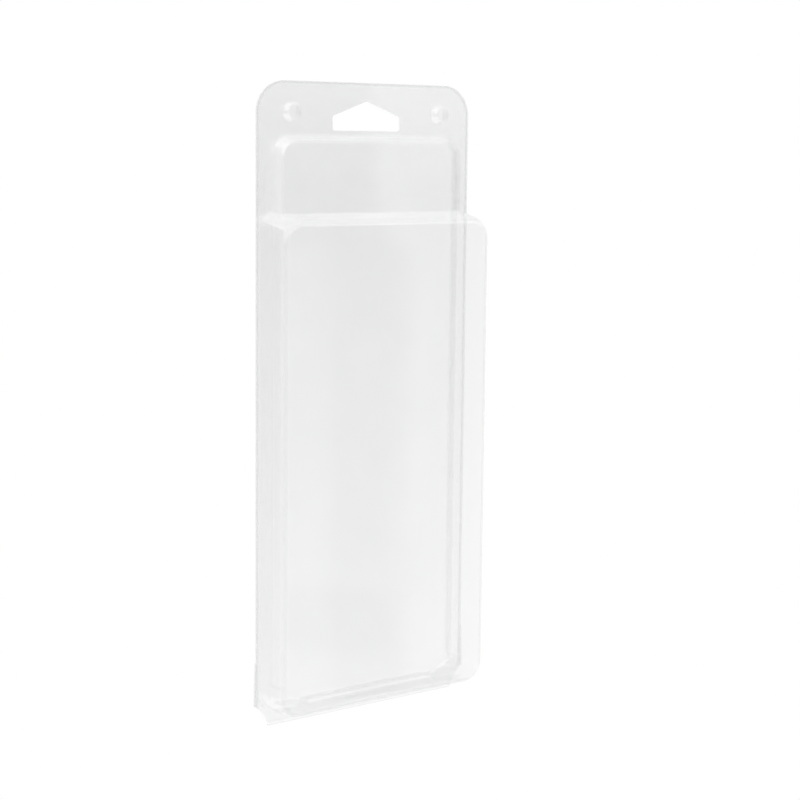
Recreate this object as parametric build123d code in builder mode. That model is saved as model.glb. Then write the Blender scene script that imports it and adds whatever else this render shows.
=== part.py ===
# Clear hanging clamshell pack, thermoformed from one sheet of film and folded at its foot.
# The front shell carries the deep box, and the back shell swings on the fold and nests in it.
from build123d import *
import os

os.makedirs("parts", exist_ok=True)

# Film and the space between the closed shells, in millimetres
film = 0.5
flange_gap = 0.2
nest_clearance = 0.3

# Panel outline, with heights counted up from the fold
panel_width = 100.0
panel_height = 250.0
panel_corner = 12.0
ear_height = 25.5
ear_step = 0.4
ear_flare = 0.5
notch_height = 8.4
notch_inset = 5.2
notch_sagitta = 0.7

# Hang hole, cut through both shells
hang_drop = 7.0
hole_width = 32.0
hole_height = 11.5
hole_end_height = 5.6
hole_apex_radius = 2.5
hole_corner_radius = 1.0

# Shallow header of the front shell, above the box
header_margin = 7.4
header_depth = 6.3
header_drop = 21.2
header_draft = 1.0
header_corner = 7.5
header_edge_radius = 1.4

# Deep box of the front shell
box_lip = 0.6
box_height = 191.2
box_foot = 6.6
box_depth = 17.7
box_side_draft = 0.6
box_foot_draft = 1.6
box_top_slope = 3.5
box_corner = 8.5
box_edge_radius = 3.0
root_radius = 0.45

# Raised tray of the back shell
tray_foot = 8.4
tray_foot_draft = 0.6
tray_edge_radius = 1.6

# Corner wedges, which stand out of the lower corners of the tray and centre it in the box
wedge_reach = 12.2
wedge_proud = 1.8
wedge_height = 8.1
wedge_drop = 1.5
wedge_nose = 2.6
wedge_rise = 1.6
wedge_corner = 1.1
wedge_taper = 3.0

# Snap studs, in the upper corners
stud_inset = 15.0
stud_drop = 11.5
stud_base_radius = 4.25
stud_top_radius = 3.5
stud_height = 2.2
stud_bevel = 1.0

# Fold, a rolled bead that the back shell turns about
bead_clearance = 0.2

# Values worked out from the sizes above
half_gap = flange_gap / 2
fold_z = hang_drop - panel_height
bead_radius = half_gap + film
fold_width = panel_width - 2 * notch_inset
ear_width = panel_width + 2 * (ear_step + ear_flare)
hole_foot = panel_height - hang_drop - hole_height
header_width = panel_width - 2 * header_margin
header_top = panel_height - header_drop
box_top = box_foot + box_height
box_width = panel_width - 2 * box_lip - 2 * box_side_draft
stud_spacing = panel_width - 2 * stud_inset
stud_rise = panel_height - stud_drop
tray_width = header_width - 2 * (film + nest_clearance)
tray_depth = header_depth - film - nest_clearance
tray_top = header_top - film - nest_clearance
tray_corner = header_corner - film - nest_clearance
sides = (-1, 1)

# The parting plane stands on the fold, and its normal points out of the front
parting = Plane(origin=(0, 0, fold_z), x_dir=(1, 0, 0), z_dir=(0, -1, 0))
front_seat = parting.offset(half_gap)
back_seat = parting.offset(-half_gap - film)


# Outline of a flange, from its foot up to the rounded shoulders
def draw_panel(foot):
    with BuildLine() as outline:
        Line((0, foot), (fold_width / 2, foot))
        SagittaArc((fold_width / 2, foot), (ear_width / 2, notch_height), notch_sagitta)
        Line((ear_width / 2, notch_height), (panel_width / 2 + ear_step, ear_height - ear_step))
        Line((panel_width / 2 + ear_step, ear_height - ear_step), (panel_width / 2, ear_height))
        Line((panel_width / 2, ear_height), (panel_width / 2, panel_height - panel_corner))
        JernArc((panel_width / 2, panel_height - panel_corner), (0, 1), panel_corner, 90)
        Line((panel_width / 2 - panel_corner, panel_height), (0, panel_height))
        mirror(about=Plane.YZ)
    make_face(outline.edges())


# Chevron hang hole, which centres the pack on a peg
def cut_hang_hole():
    with BuildSketch(parting) as hole:
        with BuildLine() as outline:
            Polyline(
                (-hole_width / 2, hole_foot),
                (hole_width / 2, hole_foot),
                (hole_width / 2, hole_foot + hole_end_height),
                (0, hole_foot + hole_height),
                (-hole_width / 2, hole_foot + hole_end_height),
                close=True,
            )
        make_face(outline.edges())
        fillet(hole.vertices().group_by(Axis.Y)[-1], hole_apex_radius)
        fillet(hole.vertices().group_by(Axis.X)[0], hole_corner_radius)
        fillet(hole.vertices().group_by(Axis.X)[-1], hole_corner_radius)
    extrude(hole.sketch, amount=bead_radius + film, both=True, mode=Mode.SUBTRACT)


# Block that rises from a seat to a depth, with flat drafted sides and rounded corners and edges
def form_block(seat, depth, width, heights, drafts, corner, edge, skin):
    foot, top = heights
    side_draft, foot_draft, top_draft = drafts
    root_foot = foot - foot_draft + skin
    with Locations(Plane(origin=(0, -seat, fold_z + root_foot), x_dir=(-1, 0, 0), z_dir=(0, 0, 1))):
        block = Wedge(
            width + 2 * side_draft - 2 * skin,
            depth - seat - skin,
            top + top_draft - skin - root_foot,
            side_draft,
            foot_draft,
            side_draft + width - 2 * skin,
            top - skin - root_foot,
            align=(Align.CENTER, Align.MIN, Align.MIN),
        )
    rounded = fillet(block.edges().group_by(Axis.Y)[1], corner - skin)
    fillet(rounded.faces().sort_by(Axis.Y)[0].edges(), edge - skin)


# Header of the front shell, which runs down into the box
def form_header(seat, skin):
    heights = (box_top - box_corner - box_top_slope, header_top)
    drafts = (header_draft, header_draft, header_draft)
    form_block(seat, header_depth, header_width, heights, drafts, header_corner, header_edge_radius, skin)


# Box of the front shell, a skin thickness inside its outer face
def form_box(seat, skin):
    heights = (box_foot, box_top)
    drafts = (box_side_draft, box_foot_draft, box_top_slope)
    form_block(seat, box_depth, box_width, heights, drafts, box_corner, box_edge_radius, skin)


# Tray of the back shell, which nests in the header and stands in the box
def form_tray(seat, skin):
    heights = (tray_foot, tray_top)
    drafts = (header_draft, tray_foot_draft, header_draft)
    form_block(seat, tray_depth, tray_width, heights, drafts, tray_corner, tray_edge_radius, skin)


# Corner wedges of the tray, with a long low edge that slopes down towards the middle
def form_wedges(skin):
    outer = tray_width / 2 + wedge_proud
    inner = tray_width / 2 - wedge_reach
    low = tray_foot - wedge_drop
    for side in sides:
        with BuildSketch(back_seat) as plan:
            with BuildLine() as outline:
                Polyline(
                    (side * outer, tray_foot),
                    (side * outer, tray_foot + wedge_height),
                    (side * inner, low + wedge_nose),
                    (side * inner, low),
                    close=True,
                )
            make_face(outline.edges())
            fillet(plan.vertices(), wedge_corner)
            if skin:
                offset(amount=-skin, mode=Mode.REPLACE)
        extrude(plan.sketch, amount=half_gap + film + tray_depth + wedge_rise - skin, taper=wedge_taper)


# Snap studs, where a stud of the back shell nests in one of the front shell
def form_studs(start, top, base_radius, top_radius, bevel):
    for side in sides:
        spot = Location((side * stud_spacing / 2, stud_rise))
        with BuildSketch(start) as base:
            with Locations(spot):
                Circle(base_radius)
        with BuildSketch(top) as crown:
            with Locations(spot):
                Circle(top_radius)
        stud = loft([base.sketch, crown.sketch])
        chamfer(stud.faces().sort_by(Axis.Y)[0].edges(), bevel)


# Solid forms of each shell's hollow
with BuildPart() as front_hollow:
    form_header(0, film)
    form_box(0, film)
    form_studs(
        parting,
        front_seat.offset(stud_height),
        stud_base_radius - film,
        stud_top_radius - film,
        stud_bevel - film,
    )

with BuildPart() as back_hollow:
    form_tray(-half_gap - film, film)
    form_wedges(film)
    form_studs(
        back_seat,
        front_seat.offset(stud_height - nest_clearance - film),
        stud_base_radius - 2 * film - nest_clearance,
        stud_top_radius - 2 * film - nest_clearance,
        stud_bevel - film,
    )

# Front shell, with its flange, header, box, studs and the bead of the fold
with BuildPart() as front_shell:
    form_header(half_gap, 0)
    form_box(half_gap, 0)
    with BuildSketch(front_seat):
        draw_panel(0)
    extrude(amount=film)
    fillet(front_shell.faces().filter_by(Axis.Y).sort_by(Axis.Y)[-2].inner_wires()[0].edges(), root_radius)
    form_studs(
        front_seat,
        front_seat.offset(film + stud_height),
        stud_base_radius,
        stud_top_radius,
        stud_bevel,
    )
    add(front_hollow.part, mode=Mode.SUBTRACT)
    cut_hang_hole()
    with BuildSketch(Plane.YZ.offset(-fold_width / 2)) as bead:
        with Locations((0, fold_z)):
            Circle(bead_radius)
    extrude(bead.sketch, amount=fold_width)
front_shell.part.label = "front_shell"
export_step(front_shell.part, "parts/front_shell.step")

# Back shell, with its flange, tray, wedges and studs
with BuildPart() as back_shell:
    form_tray(-half_gap - film, 0)
    form_wedges(0)
    with BuildSketch(back_seat):
        draw_panel(bead_radius + bead_clearance)
    extrude(amount=film)
    form_studs(
        back_seat,
        front_seat.offset(stud_height - nest_clearance),
        stud_base_radius - film - nest_clearance,
        stud_top_radius - film - nest_clearance,
        stud_bevel,
    )
    add(back_hollow.part, mode=Mode.SUBTRACT)
    cut_hang_hole()
back_shell.part.label = "back_shell"
export_step(back_shell.part, "parts/back_shell.step")
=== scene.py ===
import math

import bmesh
import bpy
from mathutils import Matrix, Vector, noise


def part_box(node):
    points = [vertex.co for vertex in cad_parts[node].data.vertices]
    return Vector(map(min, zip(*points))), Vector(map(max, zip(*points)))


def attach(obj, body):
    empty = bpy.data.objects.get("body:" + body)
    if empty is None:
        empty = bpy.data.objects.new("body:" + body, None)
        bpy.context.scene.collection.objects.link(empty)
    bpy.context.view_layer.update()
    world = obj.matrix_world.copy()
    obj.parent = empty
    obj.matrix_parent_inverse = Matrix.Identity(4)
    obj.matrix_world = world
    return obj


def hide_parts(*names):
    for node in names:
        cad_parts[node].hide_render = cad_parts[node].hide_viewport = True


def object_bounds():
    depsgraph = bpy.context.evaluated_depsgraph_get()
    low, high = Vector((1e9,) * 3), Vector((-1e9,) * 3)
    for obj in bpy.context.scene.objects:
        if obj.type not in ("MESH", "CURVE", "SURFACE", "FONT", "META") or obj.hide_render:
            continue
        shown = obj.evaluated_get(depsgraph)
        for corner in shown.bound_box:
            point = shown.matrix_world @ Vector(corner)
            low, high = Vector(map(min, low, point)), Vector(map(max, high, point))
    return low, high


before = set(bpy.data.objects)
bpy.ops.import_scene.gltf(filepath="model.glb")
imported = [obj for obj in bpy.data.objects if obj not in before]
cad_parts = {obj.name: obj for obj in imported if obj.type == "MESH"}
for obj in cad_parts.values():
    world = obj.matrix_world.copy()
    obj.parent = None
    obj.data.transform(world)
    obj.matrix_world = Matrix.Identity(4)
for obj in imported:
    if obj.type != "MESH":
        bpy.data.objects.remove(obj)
cadBox = [list(corner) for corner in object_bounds()]
mm = 0.001
print("stage: frame loaded")


# shader wiring: a Wire is one output socket, and sums on it add Math nodes
class Wire:
    def __init__(self, tree, socket=None):
        self.tree = tree
        self.socket = socket

    def node(self, kind, settings=None, outlet=0, **inlets):
        made = self.tree.nodes.new(kind)
        for name, value in (settings or {}).items():
            setattr(made, name, value)
        for name, value in inlets.items():
            numbered = name[1:].isdigit()
            plug = made.inputs[int(name[1:]) if numbered else name.replace("_", " ")]
            if isinstance(value, Wire):
                self.tree.links.new(value.socket, plug)
            else:
                plug.default_value = value
        return Wire(self.tree, made.outputs[outlet])

    def math(self, operation, a, b=0.0):
        return self.node("ShaderNodeMath", {"operation": operation}, i0=a, i1=b)

    def step(self, low, high):
        # 0 below low and 1 above high, with a soft rise between them
        settings = {"interpolation_type": "SMOOTHSTEP"}
        return self.node("ShaderNodeMapRange", settings, Value=self, From_Min=low, From_Max=high)

    def size(self):
        return self.math("ABSOLUTE", self)

    def past(self, mark):
        return self.math("MAXIMUM", self - mark, 0.0)

    def __add__(self, other):
        return self.math("ADD", self, other)

    def __radd__(self, other):
        return self.math("ADD", other, self)

    def __sub__(self, other):
        return self.math("SUBTRACT", self, other)

    def __rsub__(self, other):
        return self.math("SUBTRACT", other, self)

    def __mul__(self, other):
        return self.math("MULTIPLY", self, other)

    def __rmul__(self, other):
        return self.math("MULTIPLY", other, self)

    def __truediv__(self, other):
        return self.math("DIVIDE", self, other)

    def __rtruediv__(self, other):
        return self.math("DIVIDE", other, self)

    def __pow__(self, other):
        return self.math("POWER", self, other)


def newTree(name, world=False):
    data = bpy.data.worlds.new(name) if world else bpy.data.materials.new(name)
    data.use_nodes = True
    data.node_tree.nodes.clear()
    kind = "ShaderNodeOutputWorld" if world else "ShaderNodeOutputMaterial"
    outlet = data.node_tree.nodes.new(kind)
    return data, Wire(data.node_tree), outlet.inputs["Surface"]


def objectSpot(wire):
    return wire.node("ShaderNodeTexCoord", outlet="Object")


def inMillimetres(spot):
    parts = [spot.node("ShaderNodeSeparateXYZ", outlet=axis, Vector=spot) for axis in "XYZ"]
    return [part * 1000 for part in parts]


# soft light from all round and one soft key from above
studio = {
    "ambient": 0.8,
    "keyPower": 10.0,
    "keyPlace": (-0.5, -0.6, 1.5),
    "keyAim": (0, 0, -0.12),
    "keySize": 1.0,
}


def whiteForSight(wire):
    # 1 for the rays that see the ground, and 0 for those that it lights
    rays = [
        wire.node("ShaderNodeLightPath", outlet=name)
        for name in ("Is Camera Ray", "Is Glossy Ray", "Is Transmission Ray")
    ]
    return wire.math("MINIMUM", rays[0] + rays[1] + rays[2], 1.0)


def softSurround():
    world, wire, surface = newTree("softSurround", world=True)
    seen = whiteForSight(wire)
    strength = seen * (1 - studio["ambient"]) + studio["ambient"]
    glow = wire.node("ShaderNodeBackground", Color=(1, 1, 1, 1), Strength=strength)
    world.node_tree.links.new(glow.socket, surface)
    bpy.context.scene.world = world


def softKey():
    lamp = bpy.data.lights.new("keySoft", "AREA")
    lamp.shape = "SQUARE"
    lamp.size = studio["keySize"]
    lamp.energy = studio["keyPower"]
    holder = bpy.data.objects.new("keySoft", lamp)
    aim = Vector(studio["keyAim"]) - Vector(studio["keyPlace"])
    turn = aim.to_track_quat("-Z", "Y").to_matrix().to_4x4()
    holder.matrix_world = Matrix.Translation(studio["keyPlace"]) @ turn
    holder.visible_glossy = False       # its mirror image would burn out the formed corners
    bpy.context.scene.collection.objects.link(holder)


softSurround()
softKey()


def addStage(name, build, material):
    mesh = bpy.data.meshes.new(name)
    build.to_mesh(mesh)
    build.free()
    mesh.materials.append(material)
    piece = bpy.data.objects.new(name, mesh)
    bpy.context.scene.collection.objects.link(piece)
    return piece


# round floor that sweeps up into a wall, so that no horizon shows through the film
cove = {
    "drop": 0.3,            # gap under the pack, which hangs
    "reach": 2.6,           # radius of the flat floor
    "bend": 1.2,            # radius of the sweep
    "bendStep": 10,         # in degrees
    "top": 3.2,
    "sides": 64,
    "weld": 1e-4,
    "grey": 0.2,            # what the floor scatters near the pack, where it keeps the shadow
    "shade": (420, 600),    # where that fades out, in millimetres from the middle
}


def paleCove():
    build = bmesh.new()
    reach, bend = cove["reach"], cove["bend"]
    turns = [math.radians(angle) for angle in range(0, 91, cove["bendStep"])]
    sweep = [(reach + bend * math.sin(t), bend - bend * math.cos(t)) for t in turns]
    profile = [(0, 0)] + sweep + [(reach + bend, cove["top"])]
    spots = [build.verts.new((x, 0, z)) for x, z in profile]
    line = [build.edges.new(pair) for pair in zip(spots, spots[1:])]
    bmesh.ops.spin(
        build,
        geom=spots + line,
        axis=(0, 0, 1),
        angle=math.tau,
        steps=cove["sides"],
        use_merge=True,
    )
    bmesh.ops.remove_doubles(build, verts=build.verts, dist=cove["weld"])
    bmesh.ops.recalc_face_normals(build, faces=build.faces)
    bmesh.ops.translate(build, vec=(0, 0, cadBox[0][2] - cove["drop"]), verts=build.verts)
    for face in build.faces:
        face.smooth = True
    material, wire, surface = newTree("coveWhite")
    x, y, z = inMillimetres(objectSpot(wire))
    near = 1 - wire.math("SQRT", x * x + y * y).step(*cove["shade"])
    grey = near * cove["grey"]
    seen = whiteForSight(wire)
    lift = seen * (1 - studio["ambient"]) + studio["ambient"] * (1 - grey)
    matte = wire.node(
        "ShaderNodeBsdfPrincipled",
        Base_Color=wire.node("ShaderNodeCombineColor", Red=grey, Green=grey, Blue=grey),
        Roughness=1.0,
        Specular_IOR_Level=0.0,
        Emission_Color=wire.node("ShaderNodeCombineColor", Red=lift, Green=lift, Blue=lift),
        Emission_Strength=1.0,
    )
    material.node_tree.links.new(matte.socket, surface)
    addStage("paleCove", build, material)


paleCove()

# grey flags round the pack, which only mirrors see, so that its walls read against the white
# across is x over the depth in front of the pack, aside the same behind it, and heights are in mm
flags = {
    "radius": 0.95,
    "foot": -0.543,
    "top": 0.60,
    "sides": 64,
    "tone": 0.02,
    "lowTone": 0.70,            # added for each lowSpan down
    "lowFrom": 110,
    "lowSpan": 500,
    "highTone": 0.30,           # added for each highSpan up
    "highFrom": -60,
    "highSpan": 100,
    "highMost": 3.3,
    "lower": (-125, -90),       # where the part that the box mirrors ends
    "rightTone": 0.28,          # added on the right of the view
    "rightFrom": (0.680, 0.712),
    "rightLean": 0.03,          # and this much further right in the lower part
    "stripTone": 0.17,          # added on the strip at the left of the lower part
    "stripTo": (0.614, 0.622),
    "bandTone": -0.16,          # added on a low band
    "bandTop": (-445, -425),
    "bandFoot": (-510, -480),
    "bandLeft": (0.3, 0.5),
    "bandRight": (0.69, 0.73),
    "backTone": 0.92,           # behind the pack
    "backFrom": (-100, 300),
    "sideFrom": (0.67, 0.72),   # left of there it is dark, where the pack's left walls mirror
    "sideFade": (0, 100),
}


def greyFlags():
    build = bmesh.new()
    rim = bmesh.ops.create_circle(
        build, cap_ends=False, segments=flags["sides"], radius=flags["radius"]
    )
    bmesh.ops.translate(build, vec=(0, 0, flags["foot"]), verts=rim["verts"])
    raised = bmesh.ops.extrude_edge_only(build, edges=build.edges[:])
    lifted = [part for part in raised["geom"] if isinstance(part, bmesh.types.BMVert)]
    bmesh.ops.translate(build, vec=(0, 0, flags["top"] - flags["foot"]), verts=lifted)
    material, wire, surface = newTree("flagGrey")
    x, y, z = inMillimetres(objectSpot(wire))
    low = (0 - z).past(flags["lowFrom"]) / flags["lowSpan"]
    high = z.past(flags["highFrom"]) / flags["highSpan"]
    high = wire.math("MINIMUM", high, flags["highMost"])
    dim = flags["lowTone"] * low

    # in front of the pack
    across = x / (0 - y)
    lower = 1 - z.step(*flags["lower"])
    right = (across - flags["rightLean"] * lower).step(*flags["rightFrom"])
    strip = (1 - across.step(*flags["stripTo"])) * lower
    band = (1 - z.step(*flags["bandTop"])) * z.step(*flags["bandFoot"])
    band = band * across.step(*flags["bandLeft"]) * (1 - across.step(*flags["bandRight"]))
    tone = flags["tone"] + flags["rightTone"] * right + flags["stripTone"] * strip
    tone = tone + dim + flags["highTone"] * high + flags["bandTone"] * band

    # behind it
    back = y.step(*flags["backFrom"])
    left = 0 - x
    aside = left / y
    side = aside.step(*flags["sideFrom"]) * left.step(*flags["sideFade"])
    rear = side * dim + (1 - side) * flags["backTone"]
    tone = tone * (1 - back) + rear * back
    glow = wire.node("ShaderNodeEmission", Color=(1, 1, 1, 1), Strength=tone)
    material.node_tree.links.new(glow.socket, surface)
    ring = addStage("greyFlags", build, material)
    ring.visible_camera = False
    ring.visible_diffuse = False
    ring.visible_transmission = False
    ring.visible_shadow = False


greyFlags()
print("stage: studio set")

# camera, solved from the pack's straight edges
shot = {
    "place": (-0.3904, -0.5659, -0.0165),
    "yaw": 35.78,
    "pitch": 7.12,
    "roll": 0.61,
    "lens": 78.4,
    "sensor": 36,
    "shiftY": -0.0475,
    "near": 0.01,
}


def placeCamera():
    lens = bpy.data.cameras.new("camera")
    lens.lens = shot["lens"]
    lens.sensor_width = shot["sensor"]
    lens.shift_y = shot["shiftY"]
    lens.clip_start = shot["near"]
    camera = bpy.data.objects.new("camera", lens)
    turn = Matrix.Rotation(math.radians(-shot["yaw"]), 4, "Z")
    tilt = Matrix.Rotation(math.radians(90 - shot["pitch"]), 4, "X")
    roll = Matrix.Rotation(math.radians(shot["roll"]), 4, "Z")
    camera.matrix_world = Matrix.Translation(shot["place"]) @ turn @ tilt @ roll
    bpy.context.scene.collection.objects.link(camera)
    bpy.context.scene.camera = camera


placeCamera()
bpy.context.scene.view_settings.view_transform = "Standard"
bpy.context.scene.cycles.transparent_max_bounces = 32   # a sight line meets a dozen faces of film
print("stage: camera placed")

# clear film, a thin sheet that lets sight through, mirrors a little and scatters a little
film = {
    "gloss": 0.050,             # share that a face mirrors, seen square on
    "glossRise": 5,             # how late that grows to a full mirror at a glancing angle
    "ior": 1.57,
    "polish": 0.03,
    "rippleScale": 90.0,
    "rippleStrength": 0.06,
    "rippleHeight": 0.0001,
    "haze": 0.034,              # share that a face scatters, seen square on
    "mostHaze": 0.9,
    "hazeColor": (0.78, 0.79, 0.80, 1),
    "hazePolish": 0.3,
    "glance": 0.35,             # how late the haze grows at a glancing angle
    "cloudScale": 25.0,
    "cloudLeast": 0.6,
    "cloudSpread": 0.8,
    "shallow": (-11, -7),       # depths in mm past which the film is drawn less
    "thick": 0.8,               # more haze there
    "drawn": 0.50,              # less haze in the side walls, which are drawn thin
    "bendPaintedShade": 0.09,           # more haze in the formed edges, painted shade that darkens them into lines
    "shallowBend": 0.85,        # less of that in the shallow forms
    "wedges": (-232, -226),     # but not below these heights, in the corner wedges
    "rimPaintedShade": 0.13,            # more haze along the outline, painted shade for the dark line at the rim
    "rim": (0.3, 1.3),          # in mm in from it
    "flange": (-0.9, -0.8),     # depths past which the film is the flange
    "edgeHaze": 0.08,           # haze where the film is trimmed
    "edgePolish": 0.35,
}

# outline of the panel in mm, from the hang hole's apex
panel = {"halfWidth": 50, "top": 7, "corner": 12}


# haze of the film, with painted shade on the formed edges and along the outline
def filmHazeAndShade(wire, spot, squareOn):
    x, y, z = inMillimetres(spot)
    cloud = wire.node("ShaderNodeTexNoise", Vector=spot, Scale=film["cloudScale"], Detail=3.0)
    bend = wire.node("ShaderNodeAttribute", {"attribute_name": "bend"}, outlet="Fac")
    wall = wire.node("ShaderNodeAttribute", {"attribute_name": "wall"}, outlet="Fac")
    shallow = y.step(*film["shallow"])
    thick = (1 + film["thick"] * shallow * (1 - wall)) * (1 - film["drawn"] * wall)
    haze = film["haze"] * (film["cloudLeast"] + film["cloudSpread"] * cloud) * thick
    haze = haze * (1 + film["glance"]) / (squareOn + film["glance"])

    # painted shade: more haze on the formed edges and along the outline darkens them into lines
    bendShare = 1 - film["shallowBend"] * shallow * z.step(*film["wedges"])
    acrossCorner = x.size().past(panel["halfWidth"] - panel["corner"])
    upCorner = z.past(panel["top"] - panel["corner"])
    inset = panel["corner"] - wire.math("SQRT", acrossCorner ** 2 + upCorner ** 2)
    rim = (1 - inset.step(*film["rim"])) * y.step(*film["flange"])
    haze = haze + film["bendPaintedShade"] * bend * bendShare + film["rimPaintedShade"] * rim
    return wire.math("MINIMUM", haze, film["mostHaze"])


def filmSurface(name, trimmed=False):
    material, wire, surface = newTree(name)
    spot = objectSpot(wire)
    facing = wire.node("ShaderNodeLayerWeight", outlet="Facing", Blend=0.5)
    ripple = wire.node("ShaderNodeTexNoise", Vector=spot, Scale=film["rippleScale"], Detail=2.0)
    bump = wire.node(
        "ShaderNodeBump",
        Strength=film["rippleStrength"],
        Distance=film["rippleHeight"],
        Height=ripple,
    )
    haze = film["edgeHaze"] if trimmed else filmHazeAndShade(wire, spot, 1 - facing)
    body = wire.node(
        "ShaderNodeBsdfPrincipled",
        Base_Color=film["hazeColor"],
        Roughness=film["hazePolish"],
        IOR=film["ior"],
        Normal=bump,
    )
    clear = wire.node("ShaderNodeBsdfTransparent", Color=(1, 1, 1, 1))
    sheer = wire.node("ShaderNodeMixShader", i0=haze, i1=clear, i2=body)
    mirror = wire.node(
        "ShaderNodeBsdfGlossy",
        Color=(1, 1, 1, 1),
        Roughness=film["edgePolish" if trimmed else "polish"],
        Normal=bump,
    )
    gloss = film["gloss"] + (1 - film["gloss"]) * facing ** film["glossRise"]
    both = wire.node("ShaderNodeMixShader", i0=gloss, i1=sheer, i2=mirror)
    material.node_tree.links.new(both.socket, surface)
    return material


clearFilm = filmSurface("clearFilm")
trimmedEdge = filmSurface("trimmedEdge", trimmed=True)

# formed sheets, one for each shell
sheet = {
    "weld": 1e-6,           # in metres, as the next one
    "sliver": 2e-6,
    "grid": 7.0,            # spacing in mm of the loops that let a face bend
    "sway": 0.025,          # how far in mm the film strays from flat
    "swayLength": 55.0,
    "swayLean": 0.2,        # share of it that leans to the front
    "flange": 0.65,         # half the thickness in mm of the two flanges
    "upright": 0.05,        # how far a trimmed edge may turn to the front
    "sharp": 34.0,          # degrees over which an edge stays sharp
    "bendFrom": 0.5,        # slant at which a face counts as a bend, where 1 is 45 degrees
    "bendSpan": 0.45,
}


def cutLoops(build, low, high):
    for axis in (0, 2):
        normal = Vector((axis == 0, 0, axis == 2))
        count = round((high[axis] - low[axis]) / (sheet["grid"] * mm))
        for i in range(1, count):
            spot = low[axis] + (high[axis] - low[axis]) * i / count
            bmesh.ops.bisect_plane(
                build,
                geom=build.verts[:] + build.edges[:] + build.faces[:],
                plane_co=normal * spot,
                plane_no=normal,
                dist=sheet["weld"],
            )
    bmesh.ops.dissolve_degenerate(build, edges=build.edges, dist=sheet["sliver"])
    bmesh.ops.remove_doubles(build, verts=build.verts, dist=sheet["sliver"])


def markFaces(build):
    # trimmed edges get the second material, and each face keeps how bent and how upright it is
    build.normal_update()
    bend = build.faces.layers.float.new("bend")
    wall = build.faces.layers.float.new("wall")
    for face in build.faces:
        normal = face.normal
        thin = all(abs(vert.co.y) < sheet["flange"] * mm for vert in face.verts)
        trimmed = thin and abs(normal.y) < sheet["upright"]
        face.material_index = 1 if trimmed else 0
        face.smooth = not trimmed
        slant = 2 * abs(normal.y) * math.hypot(normal.x, normal.z)
        face[bend] = min(max((slant - sheet["bendFrom"]) / sheet["bendSpan"], 0), 1)
        face[wall] = abs(normal.x)
    for edge in build.edges:
        edge.smooth = edge.calc_face_angle(0) < math.radians(sheet["sharp"])


def formSheet(name, nodeName, body):
    build = bmesh.new()
    build.from_mesh(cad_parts[nodeName].data)
    bmesh.ops.remove_doubles(build, verts=build.verts, dist=sheet["weld"])
    low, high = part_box(nodeName)
    cutLoops(build, low, high)
    markFaces(build)
    for vert in build.verts:
        stray = noise.noise(vert.co / (sheet["swayLength"] * mm)) - sheet["swayLean"]
        stray = stray * sheet["sway"] * mm
        vert.co.y = min(max(vert.co.y + stray, low[1]), high[1])
    mesh = bpy.data.meshes.new(name)
    build.to_mesh(mesh)
    build.free()
    for material in (clearFilm, trimmedEdge):
        mesh.materials.append(material)
    piece = bpy.data.objects.new(name, mesh)
    bpy.context.scene.collection.objects.link(piece)
    even = piece.modifiers.new("evenShading", "WEIGHTED_NORMAL")
    even.keep_sharp = True
    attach(piece, body)
    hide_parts(nodeName)
    print("stage:", name, "formed,", len(mesh.polygons), "faces")


formSheet("frontFilm", "front_shell", "front")
formSheet("backFilm", "back_shell", "back")
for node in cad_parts.values():
    node.data.materials.clear()
    node.data.materials.append(clearFilm)
